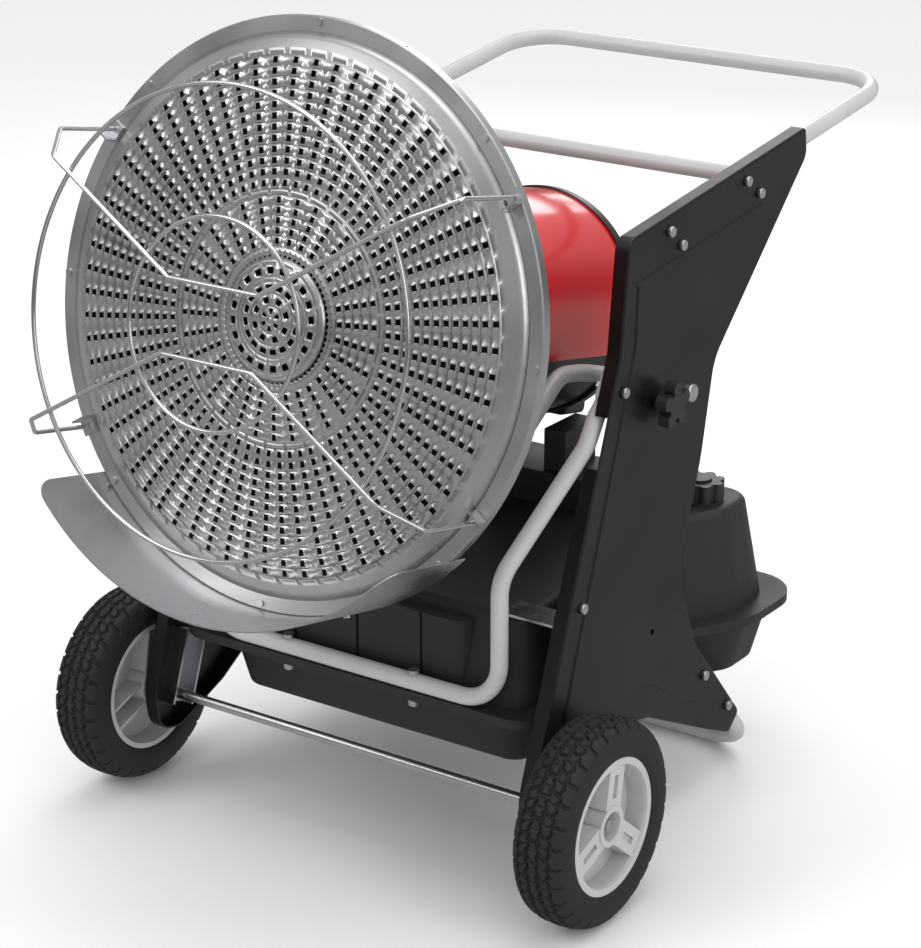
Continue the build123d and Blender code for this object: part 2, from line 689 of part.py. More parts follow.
def dish_pieces():
    rim = turned([
        (RIM_IN, 0), (DISH_R - 1.5, 0), (DISH_R, 1.5), (DISH_R, 12), (DISH_R - 1.5, 12),
        (DISH_R - 1.5, 3.0), (DISH_R - 3.0, 1.5), (RIM_IN, 1.5),
    ])
    spots = [(angle, DISH_R - RIM_BAND / 2 + 2) for angle in SCREW_ANGLES]
    holes = None
    screws = []
    for angle, radius in spots:
        x, z = radius * cos(radians(angle)), radius * sin(radians(angle))
        hole = y_rod(2.15, -2, 8, x, z)
        holes = hole if holes is None else holes + hole
        screws.append(y_rod(4.0, -2.2, 0, x, z) + y_rod(2.0, -1, 7, x, z))
    head_keep("rim_ring", rim - holes)

    front = [(RIM_IN - 0.2, -0.5), (292, -7), (278, -14), (262, -17), (140, -21), (CAP_DISC_R, -23)]
    back = [(r, y + 1.5) for r, y in reversed(front)]
    disc = turned(front + back)
    head_keep("radiant_disc", disc)
    cap_front = [(CAP_DISC_R + 3, -24.8), (CAP_DISC_R - 6, -31), (0.0, -35)]
    cap_back = [(0.0, -33.5), (CAP_DISC_R - 6.5, -29.5), (CAP_DISC_R - 2, -23.1), (CAP_DISC_R + 3, -23.3)]
    head_keep("centre_cap", turned(cap_front + cap_back))

    ledge = DISH_R - 4.0
    pan_out = [(RIM_IN - 4, 1.5), (ledge, 1.5), (ledge, 13), (262, 46), (190, DRUM_FRONT), (CHAMBER_R + 0.1, DRUM_FRONT)]
    pan_in = [(CHAMBER_R + 0.1, DRUM_FRONT - 1.5), (190, DRUM_FRONT - 1.5), (261, 44.5), (ledge - 1.5, 12),
              (ledge - 1.5, 3.0), (RIM_IN - 4, 3.0)]
    head_keep("reflector_pan", turned(pan_out + pan_in) - holes)

    shield_r = DISH_R + 0.2
    shield = arc_shell(shield_r + 1.5, 1.5, -SHIELD_AHEAD, SHIELD_BEHIND, 270 - SHIELD_HALF, 2 * SHIELD_HALF)
    corners = shield.edges().filter_by(lambda edge: abs(edge.length - 1.5) < 0.05)
    front_corners = corners.sort_by(Axis.Y)[:2]
    shield = fillet(front_corners, 26.0)
    shield_holes = None
    for angle in (250, 268, 290):
        spot = Rot(0, -angle, 0) * (Pos(0, 7.0, 0) * Rot(0, 90, 0) * Cylinder(2.15, 2 * shield_r + 40))
        shield_holes = spot if shield_holes is None else shield_holes + spot
        bolt = Pos(shield_r - 3, 7.0, 0) * Rot(0, 90, 0) * Cylinder(2.0, 14)
        bolt += Pos(shield_r + 3.0, 7.0, 0) * Rot(0, 90, 0) * Cylinder(4.0, 3)
        screws.append(Rot(0, -angle, 0) * bolt)
    head_keep("heat_shield", shield - shield_holes)
    PARTS["rim_ring"] = HEAD * (rim - holes - shield_holes)
    PARTS["reflector_pan"] = HEAD * ((turned(pan_out + pan_in) - holes) - shield_holes)
    head_keep("head_screws", solid_group(*screws))


CAP_DISC_R = 64.0


def guard_pieces():
    radius = WIRE_D / 2
    ring_y = -GUARD_AHEAD
    rod_y = ring_y - WIRE_D
    hoop = Rot(90, 0, 0) * Torus(GUARD_R, radius)
    inner = Rot(90, 0, 0) * Torus(GUARD_INNER_R, radius)
    head_keep("guard_rings", solid_group(Pos(0, ring_y, 0) * hoop, Pos(0, ring_y, 0) * inner))
    rods = []
    clips = []
    clip_r = DISH_R - 7.0
    for sign in (1, -1):
        angle = radians(CLIP_ANGLES[0]) * sign
        end_x, end_z = clip_r * cos(angle), clip_r * sin(angle)
        right = [(end_x, -3.0, end_z), (end_x, rod_y + 46, end_z), (231, rod_y, 143 * sign), (60, rod_y, 40 * sign)]
        points = right + [(-x, y, z) for x, y, z in reversed(right)]
        rods.append(bent_tube(points, [14, 12, 12, 12, 12, 14], WIRE_D, 0))
        for side in (1, -1):
            plate = block(end_x - 9, end_x + 9, -2.2, -0.0, end_z - 9, end_z + 9)
            hook = block(end_x - 9, end_x + 9, -16, -2.2, end_z - 9 * sign - 1, end_z - 9 * sign + 1)
            clip = plate + hook
            clip = Pos(end_x, 0, end_z) * Rot(0, -degrees(angle), 0) * Pos(-end_x, 0, -end_z) * clip
            clip -= y_rod(radius + 0.05, -20, 5, end_x, end_z)
            clips.append(clip if side > 0 else mirrored(clip))
    head_keep("guard_rods", solid_group(*rods))
    head_keep("guard_clips", solid_group(*clips))


def drum_pieces():
    y0, y1 = DRUM_FRONT, DRUM_FRONT + DRUM_LEN
    cover = arc_shell(DRUM_R, 1.5, y0, y1, -COVER_LOW, 180 + 2 * COVER_LOW)
    head_keep("drum_cover", cover)
    base_r = DRUM_R - 1.5 - 0.1
    base = arc_shell(base_r, 2.0, y0, y1, 180 + COVER_LOW - 8, 180 - 2 * COVER_LOW + 16)
    head_keep("drum_base", base)
    trim = turned([(DRUM_R - 14, y1), (DRUM_R + 2, y1), (DRUM_R + 2, y1 - 8), (DRUM_R + 0.1, y1 - 8),
                   (DRUM_R + 0.1, y1 + 0.02), (DRUM_R + 2, y1 + 6), (DRUM_R - 14, y1 + 6)])
    trim = y_rod(DRUM_R + 2.5, y1 - 8, y1 + 5, bore=DRUM_R + 0.1) + y_rod(DRUM_R + 2.5, y1, y1 + 5, bore=DRUM_R - 16)
    head_keep("rear_trim_ring", trim)
    grille_r = base_r - 2.1
    grille = y_rod(grille_r, y1 - 4, y1 - 0.0)
    for k in range(-6, 7):
        z = 16.0 * k + 0.0
        half = sqrt(max((grille_r - 14) ** 2 - z * z, 0))
        inner = 24 if abs(z) < 24 else 3
        if abs(z) < 100 and z > -40:
            for sign in (1, -1):
                x0, x1 = sorted((sign * inner, sign * (half - 4)))
                grille -= block(x0, x1, y1 - 10, y1 + 5, z - 4, z + 4)
    head_keep("rear_grille", grille)

    chamber = y_rod(CHAMBER_R, 8, 260, bore=CHAMBER_R - 2)
    chamber += y_rod(CHAMBER_R, 258, 260, bore=BLAST_R + 0.5)
    chamber += y_rod(CHAMBER_R + 24, DRUM_FRONT, DRUM_FRONT + 2, bore=CHAMBER_R - 1)
    head_keep("combustion_chamber", chamber)
    baffle_y = 300.0
    head_keep("air_baffle", y_rod(base_r - 2.1, baffle_y, baffle_y + 2, bore=BLAST_R + 0.1))
    burner = y_rod(BLAST_R, 240, baffle_y + 10, bore=BLAST_R - 2)
    burner += block(-BLAST_R + 1, BLAST_R - 1, 290, 293, -4, 4)
    burner += y_rod(7, 262, 300)
    burner += block(-16, -13, 255, 292, 2, 5) + block(13, 16, 255, 292, 2, 5)
    head_keep("burner_nozzle", burner)
    scroll = y_rod(104, baffle_y + 2, baffle_y + 56, bore=102) + y_rod(104, baffle_y + 54, baffle_y + 56, bore=58)
    head_keep("fan_housing", scroll)
    wheel = y_rod(84, baffle_y + 14, baffle_y + 17, bore=SHAFT_R) + y_rod(12, baffle_y + 14, baffle_y + 34, bore=SHAFT_R)
    for k in range(24):
        blade = block(68, 84, baffle_y + 17, baffle_y + 44, -0.8, 0.8)
        blade = Rot(0, 15 * k, 0) * blade
        wheel += blade
    wheel += y_rod(84, baffle_y + 43, baffle_y + 45, bore=66)
    head_keep("fan_wheel", wheel)
    head_keep("motor_shaft", y_rod(SHAFT_R, baffle_y + 12, baffle_y + 150))
    motor = y_rod(52, baffle_y + 60, baffle_y + 140, bore=SHAFT_R + RUN_GAP)
    motor += y_rod(66, baffle_y + 56, baffle_y + 60, bore=SHAFT_R + RUN_GAP)
    head_keep("motor", motor)
    pump = y_rod(26, baffle_y + 140, baffle_y + 172, bore=SHAFT_R + RUN_GAP) + y_rod(26, baffle_y + 168, baffle_y + 176)
    pump += Pos(0, baffle_y + 156, -30) * Cylinder(6, 16)
    head_keep("fuel_pump", pump)
    coil = block(-38, 38, baffle_y + 56, baffle_y + 120, 68, 98)
    head_keep("ignition_transformer", fillet(coil.edges().filter_by(Axis.Y), 5))
    sensor = y_rod(8, baffle_y + 2, baffle_y + 30, 112, 30)
    head_keep("flame_sensor", sensor)


BLAST_R = 46.0
SHAFT_R = 5.0


def cradle_pieces():
    """Bent tube under the drum that hangs the head between the panels."""
    behind, above = head_point(*PIVOT_AT)
    arm_x = DRUM_R + TUBE_R + 2.0
    low = -(DRUM_R + TUBE_R + 1.0)
    drop = above - low
    fold = behind - 65.0
    end = (QUADRANT_X, behind, above)
    half = [end, (arm_x, behind, above), (arm_x, fold, above), (arm_x, fold - drop, low)]
    points = half + [(-x, y, z) for x, y, z in reversed(half)]
    cradle = bent_tube(points, [28, 40, 45, 45, 40, 28])
    head_keep("head_cradle", cradle)
    spot_y, spot_z = head_point(*KNOB_AT)
    reach = sqrt((spot_y - behind) ** 2 + (spot_z - above) ** 2)
    rest = degrees(atan2(spot_z - above, spot_y - behind))
    plate = x_rod(24, QUADRANT_X, QUADRANT_X + QUADRANT_T, behind, above)
    arm = x_rod(reach + 16, QUADRANT_X, QUADRANT_X + QUADRANT_T, behind, above)
    fan = Plane.YZ * make_face(Polyline(*fan_points(behind, above, rest, 24, reach * 1.6), close=True))
    arm = arm & (Pos(QUADRANT_X - 5, 0, 0) * extrude(fan, QUADRANT_T + 10))
    plate = plate + arm
    pad = block(arm_x + TUBE_R + 0.5, QUADRANT_X, behind - 4, behind + 4, above - 9, above + 9)
    slot = slot_cut(behind, above, reach, rest)
    plate -= x_rod(PIVOT_D / 2 + RUN_GAP, 200, 300, behind, above)
    head_keep("quadrant_right", plate - slot)
    head_keep("quadrant_left", mirrored(plate))


def fan_points(y, z, mid, half, reach):
    points = [(y, z)]
    for k in range(5):
        angle = radians(mid - half + 2 * half * k / 4)
        points.append((y + reach * cos(angle), z + reach * sin(angle)))
    return points


def slot_cut(y, z, reach, rest):
    """Arc slot that the clamp stud runs in, with room for the whole tilt."""
    stud = BOLT_D / 2 + HOLE_GAP + 0.35
    slot = None
    steps = 12
    first, last = rest - TILT_DOWN, rest + TILT_UP
    for k in range(steps + 1):
        angle = radians(first + (last - first) * k / steps)
        hole = x_rod(stud, 200, 300, y + reach * cos(angle), z + reach * sin(angle))
        slot = hole if slot is None else slot + hole
    ring = x_rod(reach + stud, 200, 300, y, z, reach - stud)
    wedge = Plane.YZ * make_face(Polyline(*fan_points(y, z, (first + last) / 2, (last - first) / 2, reach * 1.5), close=True))
    return slot + (ring & (Pos(200, 0, 0) * extrude(wedge, 100)))


def knob_pieces():
    y, z = KNOB_AT
    face_x = FRAME_HALF + SHEET * 0.75 + SEAT
    knob = x_rod(15, face_x + 8, face_x + 24, y, z)
    for k in range(5):
        angle = radians(72 * k + 90)
        lobe_y, lobe_z = y + 19 * cos(angle), z + 19 * sin(angle)
        knob += x_rod(8, face_x + 10, face_x + 24, lobe_y, lobe_z)
    knob += x_rod(10, face_x, face_x + 12, y, z)
    stud = x_rod(BOLT_D / 2, QUADRANT_X - 14, face_x + 10, y, z)
    keep("tilt_knob", knob + stud)
    nut = x_rod(9, QUADRANT_X - 8, QUADRANT_X - SEAT, y, z, BOLT_D / 2 + RUN_GAP)
    keep("clamp_nut", nut)


BOX_D = 42.0
BOX_HALF = HORN_IN - 4


def control_pieces():
    """Control box on the rear ring, with what the operator touches on its back."""
    y0 = DRUM_FRONT + DRUM_LEN + 5
    y1 = y0 + BOX_D
    low, high = -DRUM_R + 2, -46.0
    case = block(-BOX_HALF, BOX_HALF, y0, y1, low, high)
    case = fillet(case.edges().filter_by(Axis.Y), 8)
    case -= block(3 - BOX_HALF, BOX_HALF - 3, y0 - 1, y1 - 3, low + 3, high - 3)
    mid = (low + high) / 2
    openings = [block(-40 - 10, -40 + 10, y1 - 10, y1 + 5, mid - 14, mid + 14)]
    openings.append(y_rod(5.3, y1 - 10, y1 + 5, -18, mid + 18))
    openings.append(y_rod(6.0 + RUN_GAP, y1 - 10, y1 + 5, -18, mid - 14))
    openings.append(y_rod(4.0 + RUN_GAP, y1 - 10, y1 + 5, 22, mid))
    side = BOX_HALF
    openings.append(block(side - 12, side + 7, y0 + 8, y0 + 36, mid - 11, mid + 11))
    for opening in openings:
        case -= opening
    head_keep("control_box", case)
    rocker = y_rod(9.0, -9.5, 9.5).rotate(Axis.Z, 90)
    rocker = Pos(-40, y1 - 3, mid) * (rocker & Box(30, 13, 26.4))
    head_keep("power_switch", rocker)
    lamp = y_rod(5.2, y1 - 8, y1 + 2, -18, mid + 18)
    lamp = fillet(lamp.edges().sort_by(Axis.Y)[-1], 1.8)
    head_keep("indicator_lamp", lamp + y_rod(7, y1, y1 + 1, -18, mid + 18, 5.2))
    button = y_rod(6.0, y1 - 12, y1 + 4, -18, mid - 14)
    head_keep("reset_button", button)
    dial = y_rod(18, y1 + SEAT, y1 + 15, 22, mid) + y_rod(4.0, y1 - 12, y1 + 2, 22, mid)
    dial += block(20.5, 23.5, y1 + 4, y1 + 17, mid, mid + 17)
    head_keep("thermostat_dial", dial)
    inlet = block(side - 10, side + 2, y0 + 9, y0 + 35, mid - 10, mid + 10)
    inlet -= block(side - 6, side + 12, y0 + 12, y0 + 32, mid - 7, mid + 7)
    head_keep("power_inlet", inlet)


frame_pieces()
fasteners()
running_gear()
tank_pieces()
dish_pieces()
guard_pieces()
drum_pieces()
cradle_pieces()
knob_pieces()
control_pieces()

boxes = [shape.bounding_box() for shape in PARTS.values()]
front = min(box.min.Y for box in boxes)
rear = max(box.max.Y for box in boxes)
shift = -(front + rear) / 2
os.makedirs("parts", exist_ok=True)
for name, shape in PARTS.items():
    export_step(Pos(0, shift, 0) * shape, f"parts/{name}.step")
low = min(box.min.Z for box in boxes)
high = max(box.max.Z for box in boxes)
side = max(box.max.X for box in boxes)
print("nodes", len(PARTS), "size", round(2 * side, 1), round(rear - front, 1), round(high - low, 1), "lowest", round(low, 3))
print("shift", round(shift, 3))
print("pivot", [round(v, 3) for v in (PIVOT_AT[0] + shift, PIVOT_AT[1])])
print("knob", [round(v, 3) for v in (KNOB_AT[0] + shift, KNOB_AT[1])])
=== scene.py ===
import json
import math

import bmesh
import bpy
import numpy as np
from mathutils import Matrix, Vector


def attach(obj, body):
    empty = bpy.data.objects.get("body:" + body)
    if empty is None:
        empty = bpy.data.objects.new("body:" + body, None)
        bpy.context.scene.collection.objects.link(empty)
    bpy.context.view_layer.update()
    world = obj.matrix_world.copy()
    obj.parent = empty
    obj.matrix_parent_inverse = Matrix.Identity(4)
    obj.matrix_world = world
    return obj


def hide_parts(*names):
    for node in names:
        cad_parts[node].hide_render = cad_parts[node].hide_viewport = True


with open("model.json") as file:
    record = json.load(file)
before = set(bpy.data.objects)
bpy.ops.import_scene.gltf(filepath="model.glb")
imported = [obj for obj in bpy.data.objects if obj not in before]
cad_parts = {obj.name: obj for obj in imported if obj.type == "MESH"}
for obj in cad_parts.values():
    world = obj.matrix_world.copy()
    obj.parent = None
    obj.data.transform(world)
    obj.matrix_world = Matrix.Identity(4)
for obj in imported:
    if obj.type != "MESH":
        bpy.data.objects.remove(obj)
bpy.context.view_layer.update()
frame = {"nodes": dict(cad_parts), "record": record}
NODES = frame["nodes"]
RECORD = frame["record"]

# Places shared with the solids, metres
AXLE_Y = -0.251201
AXLE_Z = 0.120
WHEEL_X = 0.329
TILT = math.radians(11.4)
DISH_Y = -0.0958
DISH_Z = 0.6621
DISH = Matrix.Translation((0, DISH_Y + AXLE_Y, DISH_Z)) @ Matrix.Rotation(-TILT, 4, "X")

# Surface finish shared by every material
COAT_ROUGH = 0.12
CLOUD_SCALE = 9.0
CLOUD_DETAIL = 6.0
CLOUD_LOW = 0.3
CLOUD_HIGH = 0.7
GRAIN_DETAIL = 3.0
DARKER = 0.86
LIGHTER = 1.1
BUMP_DEPTH = 0.0006
# Dark colour painted on the pan's inside as shade behind the dish
INSIDE_SHADE_COLOUR = (0.02, 0.018, 0.017, 1)

# Softened edges of moulded pieces
EDGE_WIDTH = 0.0012
EDGE_SEGMENTS = 2
EDGE_ANGLE = math.radians(35)


def paint_inside_shade(tree, colour, bsdf):
    """Painted shade: the sheet is coloured dark and made dull, not metallic, where it faces the dish's front,
    in shade behind the dish.
    """
    nodes, links = tree.nodes, tree.links
    geometry = nodes.new("ShaderNodeNewGeometry")
    facing = nodes.new("ShaderNodeVectorMath")
    facing.operation = "DOT_PRODUCT"
    facing.inputs[1].default_value = (0, -math.cos(TILT), math.sin(TILT))
    links.new(geometry.outputs["True Normal"], facing.inputs[0])
    step = nodes.new("ShaderNodeMapRange")
    step.inputs["From Min"].default_value = 0.0
    step.inputs["From Max"].default_value = 0.1
    links.new(facing.outputs["Value"], step.inputs["Value"])
    mix = nodes.new("ShaderNodeMix")
    mix.data_type = "RGBA"
    # Painted shade colour where the sheet faces the dish's front
    mix.inputs["B"].default_value = INSIDE_SHADE_COLOUR
    links.new(step.outputs["Result"], mix.inputs["Factor"])
    links.new(colour, mix.inputs["A"])
    shine = nodes.new("ShaderNodeMath")
    shine.operation = "SUBTRACT"
    shine.inputs[0].default_value = 1.0
    links.new(step.outputs["Result"], shine.inputs[1])
    links.new(shine.outputs["Value"], bsdf.inputs["Metallic"])
    return mix.outputs["Result"]


def material(name, base, rough, metal=0.0, coat=0.0, bump=None, spread=0.06, grain=400.0, shade_inside=False):
    """Principled surface with uneven roughness and tone, and a fine bump."""
    mat = bpy.data.materials.new(name)
    mat.use_nodes = True
    tree = mat.node_tree
    nodes, links = tree.nodes, tree.links
    bsdf = nodes["Principled BSDF"]
    bsdf.inputs["Metallic"].default_value = metal
    bsdf.inputs["Coat Weight"].default_value = coat
    bsdf.inputs["Coat Roughness"].default_value = COAT_ROUGH
    coords = nodes.new("ShaderNodeTexCoord")
    cloud = nodes.new("ShaderNodeTexNoise")
    cloud.inputs["Scale"].default_value = CLOUD_SCALE
    cloud.inputs["Detail"].default_value = CLOUD_DETAIL
    links.new(coords.outputs["Object"], cloud.inputs["Vector"])
    fine = nodes.new("ShaderNodeTexNoise")
    fine.inputs["Scale"].default_value = grain
    fine.inputs["Detail"].default_value = GRAIN_DETAIL
    links.new(coords.outputs["Object"], fine.inputs["Vector"])
    ramp = nodes.new("ShaderNodeMapRange")
    ramp.inputs["From Min"].default_value = CLOUD_LOW
    ramp.inputs["From Max"].default_value = CLOUD_HIGH
    ramp.inputs["To Min"].default_value = max(rough - spread, 0.02)
    ramp.inputs["To Max"].default_value = min(rough + spread, 1.0)
    links.new(cloud.outputs["Fac"], ramp.inputs["Value"])
    links.new(ramp.outputs["Result"], bsdf.inputs["Roughness"])
    tint = nodes.new("ShaderNodeMix")
    tint.data_type = "RGBA"
    tint.inputs["A"].default_value = (*[c * DARKER for c in base], 1)
    tint.inputs["B"].default_value = (*[min(c * LIGHTER, 1) for c in base], 1)
    links.new(cloud.outputs["Fac"], tint.inputs["Factor"])
    colour = tint.outputs["Result"]
    # Painted shade on the side that faces the dish's front
    if shade_inside:
        colour = paint_inside_shade(tree, colour, bsdf)
    links.new(colour, bsdf.inputs["Base Color"])
    if bump:
        relief = nodes.new("ShaderNodeBump")
        relief.inputs["Strength"].default_value = bump
        relief.inputs["Distance"].default_value = BUMP_DEPTH
        links.new(fine.outputs["Fac"], relief.inputs["Height"])
        links.new(relief.outputs["Normal"], bsdf.inputs["Normal"])
    return mat


MATERIALS = {
    "panel_black": material("panel_black", (0.0045, 0.0045, 0.005), 0.38, bump=0.15, grain=900),
    "frame_grey": material("frame_grey", (0.52, 0.53, 0.54), 0.36, coat=0.2, bump=0.05),
    "zinc": material("zinc", (0.66, 0.67, 0.69), 0.3, 1.0, bump=0.08, spread=0.1),
    "axle_steel": material("axle_steel", (0.7, 0.7, 0.71), 0.26, 1.0, bump=0.05),
    "dish_steel": material("dish_steel", (0.62, 0.62, 0.62), 0.34, 1.0, bump=0.12, spread=0.09, grain=260),
    # pan_steel: its inside is painted dark as shade behind the dish
    "pan_steel": material("pan_steel", (0.55, 0.55, 0.54), 0.36, 1.0, bump=0.1, spread=0.1, shade_inside=True),
    "guard_wire": material("guard_wire", (0.78, 0.78, 0.78), 0.2, 1.0),
    "drum_red": material("drum_red", (0.78, 0.004, 0.008), 0.22, coat=0.7, spread=0.03),
    "black_metal": material("black_metal", (0.014, 0.014, 0.014), 0.4, coat=0.1, bump=0.06),
    "inner_steel": material("inner_steel", (0.32, 0.29, 0.26), 0.45, 1.0, bump=0.1),
    "tank_plastic": material("tank_plastic", (0.021, 0.022, 0.024), 0.5, bump=0.35, grain=1100),
    "dark_plastic": material("dark_plastic", (0.022, 0.022, 0.024), 0.45, bump=0.2, grain=1100),
    "pump_alloy": material("pump_alloy", (0.6, 0.6, 0.6), 0.4, 1.0, bump=0.2),
    "lamp_amber": material("lamp_amber", (0.85, 0.32, 0.03), 0.12, coat=0.6),
    "hub_grey": material("hub_grey", (0.5, 0.51, 0.52), 0.42, bump=0.12, grain=900),
    "tyre_black": material("tyre_black", (0.016, 0.016, 0.017), 0.62, bump=0.3, grain=700),
}


def dress(obj, slot, angle=32):
    """Gives a mesh its slot's material and shades it smooth but for its sharp edges."""
    obj.data.materials.clear()
    obj.data.materials.append(MATERIALS[slot])
    for poly in obj.data.polygons:
        poly.use_smooth = True
    bpy.ops.object.select_all(action="DESELECT")
    obj.select_set(True)
    bpy.context.view_layer.objects.active = obj
    bpy.ops.object.shade_smooth_by_angle(angle=math.radians(angle))


SLOT_OF = {part["node"]: part["material_slot"] for part in RECORD["subparts"]}
SHARP = {"tank_upper", "tank_lower", "hub_left", "hub_right", "drum_saddle", "control_box", "filler_cap",
         "power_switch", "thermostat_dial", "tilt_knob"}
for name, node in NODES.items():
    dress(node, SLOT_OF[name])
    even = node.modifiers.new("even", "WEIGHTED_NORMAL")
    even.keep_sharp = True
    if name in SHARP:
        soft = node.modifiers.new("soft", "BEVEL")
        soft.width = EDGE_WIDTH
        soft.segments = EDGE_SEGMENTS
        soft.limit_method = "ANGLE"
        soft.angle_limit = EDGE_ANGLE
        soft.harden_normals = True
        node.modifiers.move(1, 0)


def new_mesh(name, verts, faces, slot, body, replaced=(), angle=32):
    """A dressed mesh that rides on a body and may take the place of solids."""
    data = bpy.data.meshes.new(name)
    data.from_pydata([tuple(v) for v in verts], [], faces)
    data.update()
    obj = bpy.data.objects.new(name, data)
    bpy.context.scene.collection.objects.link(obj)
    shell = bmesh.new()
    shell.from_mesh(data)
    bmesh.ops.recalc_face_normals(shell, faces=shell.faces)
    shell.to_mesh(data)
    shell.free()
    dress(obj, slot, angle)
    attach(obj, body)
    if replaced:
        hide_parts(*replaced)
    return obj


# Treaded tyres
ROUND = 720
PITCHES = 30
TYRE_HALF = 0.033
TREAD_DEPTH = 0.0036
TREAD_R = 0.118
GROOVES = (-0.0185, -0.0065, 0.0065, 0.0185)
GROOVE_WIDTH = 0.0026
BLOCK_GAP = 0.0032
SIPE_WIDTH = 0.0012
SIPE_DEPTH = 0.45
SIPE_REACH = 0.017
ZIGZAG = 0.0016
SHOULDER_R = 0.1065
SHOULDER_FADE = 0.004
PROFILE = [(-0.0290, 0.0790), (-0.0312, 0.0812), (-0.0330, 0.0880), (-0.0328, 0.0960), (-0.0322, 0.1010),
           (-0.0312, 0.1060), (-0.0295, 0.1110), (-0.0268, 0.1145), (-0.0230, 0.1167), (-0.0180, 0.1183),
           (-0.0120, 0.1193), (-0.0060, 0.1198), (0.0, 0.1200)]


def tyre_profile(count=96):
    """Evenly spaced (x, r) points over the tyre's outside, bead to bead."""
    points = np.array(PROFILE + [(-x, r) for x, r in reversed(PROFILE[:-1])])
    steps = np.r_[0, np.cumsum(np.linalg.norm(np.diff(points, axis=0), axis=1))]
    along = np.linspace(0, steps[-1], count)
    return np.stack([np.interp(along, steps, points[:, 0]), np.interp(along, steps, points[:, 1])], 1)


def groove(distance, width, wall=0.0009):
    """1 in the middle of a groove and 0 outside it."""
    return 1 - np.clip((np.abs(distance) - width / 2) / wall, 0, 1)


def tread(x, turn):
    """How deep the tread is cut at one x and one turn (in pitches)."""
    zig = ZIGZAG * (2 * np.abs(2 * (turn * 2 % 1) - 1) - 1)
    cut = np.zeros_like(turn)
    for centre in GROOVES:
        cut = np.maximum(cut, groove(x - centre - zig * np.sign(centre), GROOVE_WIDTH))
    row = np.digitize(x, GROOVES)
    phase = np.array([0.0, 0.5, 0.0, 0.5, 0.0])[row]
    slant = np.array([0.10, 0.25, 0.0, -0.25, -0.10])[row] * (x / 0.012)
    pitch = 2 * math.pi * TREAD_R / PITCHES
    lateral = ((turn + phase + slant + 0.5) % 1 - 0.5) * pitch
    cut = np.maximum(cut, groove(lateral, BLOCK_GAP))
    sipe = ((turn + phase + slant) % 1 - 0.5) * pitch
    inner = np.where(np.abs(x) < SIPE_REACH, SIPE_DEPTH, 0.0)
    return np.maximum(cut, inner * groove(sipe, SIPE_WIDTH))


def tyre(side, name):
    """One treaded tyre in place of the smooth ring."""
    profile = tyre_profile()
    turns = np.arange(ROUND) / ROUND * 2 * math.pi
    verts = []
    for x, r in profile:
        edge = min(max((r - SHOULDER_R) / SHOULDER_FADE, 0.0), 1.0)
        cut = tread(np.full(ROUND, x), turns / (2 * math.pi) * PITCHES) * TREAD_DEPTH * edge
        radius = r - cut
        y = AXLE_Y + radius * np.cos(turns)
        z = AXLE_Z + radius * np.sin(turns)
        pull = 1 - 0.35 * (cut / TYRE_HALF) * abs(x) / TYRE_HALF
        verts.append(np.stack([np.full(ROUND, side * WHEEL_X) + x * pull, y, z], 1))
    count = len(profile)
    verts = np.concatenate(verts)
    faces = []
    for i in range(count):
        a, b = i * ROUND, ((i + 1) % count) * ROUND
        for k in range(ROUND):
            n = (k + 1) % ROUND
            faces.append((a + k, a + n, b + n, b + k))
    new_mesh(name + "_tread", verts, faces, "tyre_black", "wheel_" + name.split("_")[1], (name,), 40)


tyre(1, "tyre_right")
tyre(-1, "tyre_left")


# Punched dish: each slot is a window in the sheet with a raised lip on one long side
DISC_LINE = [(0.0, -0.0245), (0.062, -0.0242), (0.075, -0.0240), (0.140, -0.0210), (0.262, -0.0170),
             (0.278, -0.0140), (0.292, -0.0070), (0.3035, -0.0005)]
CAP_LINE = [(0.0, -0.0350), (0.058, -0.0310), (0.067, -0.0262)]
SHEET_THICK = 0.0011
WELD = 2e-5
LIP_LEAN = 0.26


def rise(line, radius):
    """Depth of the sheet's line at one radius."""
    return float(np.interp(radius, [p[0] for p in line], [p[1] for p in line]))


